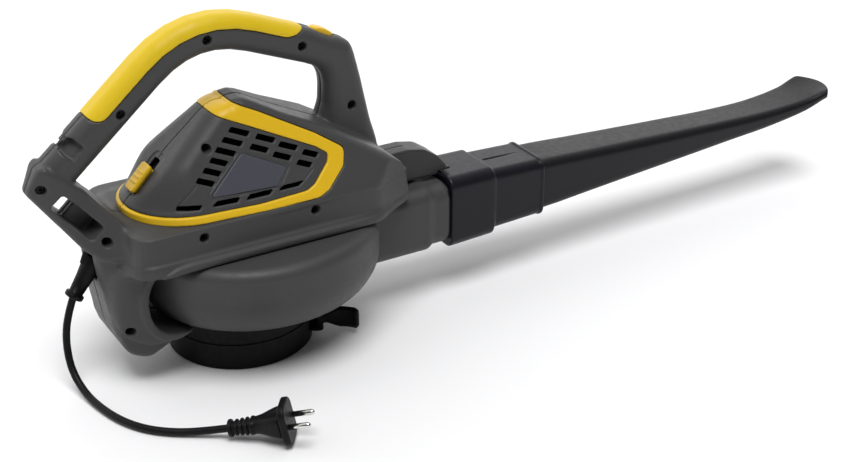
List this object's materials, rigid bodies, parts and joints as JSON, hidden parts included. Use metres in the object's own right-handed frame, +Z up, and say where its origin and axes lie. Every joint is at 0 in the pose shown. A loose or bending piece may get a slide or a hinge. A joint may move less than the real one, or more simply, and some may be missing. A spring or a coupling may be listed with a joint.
{
  "type": "leaf blower",
  "caption": "Corded leaf blower with a loop handle, an upright motor over a round intake and a long tapered nozzle.",
  "frame": {"origin": "centre of the intake ring's bottom face, on the surface it stands on", "axes": "+X forward along the blower tube, +Y to the user's left, +Z up"},
  "size_m": [0.886, 0.295, 0.3075],
  "materials": {
    "body_grey": "fine spark texture, satin",
    "trim_yellow": "satin",
    "badge_grey": "satin metallic paint",
    "tube_black": "smooth satin",
    "ring_black": "satin",
    "steel": "turned",
    "black_steel": "black oxide",
    "lamination": "stacked laminations",
    "copper": "enamelled copper",
    "brass": "pressed",
    "carbon": "carbon",
    "cast_alloy": "as cast",
    "impeller_nylon": "moulded nylon",
    "switch_black": "moulded",
    "board_green": "solder mask",
    "cord_rubber": "matt rubber",
    "pin_nickel": "nickel plate"
  },
  "bodies": {
    "machine": {"housing_right": "body_grey", "housing_left": "body_grey", "volute_right": "body_grey", "volute_left": "body_grey", "motor_cover_right": "body_grey", "motor_cover_left": "body_grey", "trim_band_right": "trim_yellow", "trim_band_left": "trim_yellow", "handle_grip": "trim_yellow", "badge_right": "badge_grey", "badge_left": "badge_grey", "intake_ring": "ring_black", "intake_collar": "ring_black", "guard_pin": "steel", "latch_pin": "steel", "release_pin": "steel", "lower_bearing": "steel", "upper_bearing": "steel", "stator_core": "lamination", "plate_screws": "steel", "motor_screws": "steel", "collar_screws": "steel", "housing_screws": "black_steel", "cover_screw": "black_steel", "brush_springs": "steel", "field_coils": "copper", "brush_holders": "brass", "carbon_brushes": "carbon", "motor_plate": "cast_alloy", "end_bracket": "cast_alloy", "switch_body": "switch_black", "selector_switch": "switch_black", "control_board": "board_green", "cord_clamp": "switch_black", "strain_relief": "cord_rubber", "power_cord": "cord_rubber", "cord_tail": "cord_rubber", "plug_body": "cord_rubber", "plug_pins": "pin_nickel"},
    "rotor": {"impeller": "impeller_nylon", "impeller_nut": "steel", "motor_shaft": "steel", "cooling_fan": "impeller_nylon", "armature_core": "lamination", "armature_windings": "copper", "commutator": "copper"},
    "guard": {"guard_grille": "ring_black"},
    "latch": {"guard_latch": "ring_black"},
    "button": {"speed_button": "trim_yellow"},
    "selector": {"selector_slide": "trim_yellow"},
    "release": {"release_lever": "body_grey"},
    "tube": {"tube_rear": "tube_black"},
    "nozzle": {"tube_nozzle": "tube_black"}
  },
  "joints": [
    {"name": "rotor_spin", "type": "hinge", "parent": "machine", "child": "rotor", "pos_m": [0, 0, 0.15], "axis": [0, 0, 1], "continuous": true},
    {"name": "guard_hinge", "type": "hinge", "parent": "machine", "child": "guard", "pos_m": [-0.0545, 0, 0.0045], "axis": [0, 1, 0], "range_deg": [0, 80]},
    {"name": "latch_turn", "type": "hinge", "parent": "machine", "child": "latch", "pos_m": [0.05955, -0.03867, 0.013], "axis": [0, 0, 1], "range_deg": [0, 20], "stiffness_Nm_per_rad": 0.05, "springref_deg": -5.73},
    {"name": "button_press", "type": "slide", "parent": "machine", "child": "button", "axis": [-0.4251, 0, -0.9052], "range_m": [0, 0.0035], "stiffness_N_per_m": 400, "springref_m": -0.002},
    {"name": "selector_travel", "type": "slide", "parent": "machine", "child": "selector", "axis": [0.694, 0, 0.72], "range_m": [0, 0.009]},
    {"name": "release_tilt", "type": "hinge", "parent": "machine", "child": "release", "pos_m": [0.152, 0, 0.128], "axis": [0, -1, 0], "range_deg": [0, 5], "stiffness_Nm_per_rad": 0.6, "springref_deg": -5.73},
    {"name": "tube_pull", "type": "slide", "parent": "machine", "child": "tube", "axis": [1, 0, 0], "range_m": [0, 0.1]},
    {"name": "nozzle_pull", "type": "slide", "parent": "tube", "child": "nozzle", "axis": [1, 0, 0], "range_m": [0, 0.1]}
  ]
}
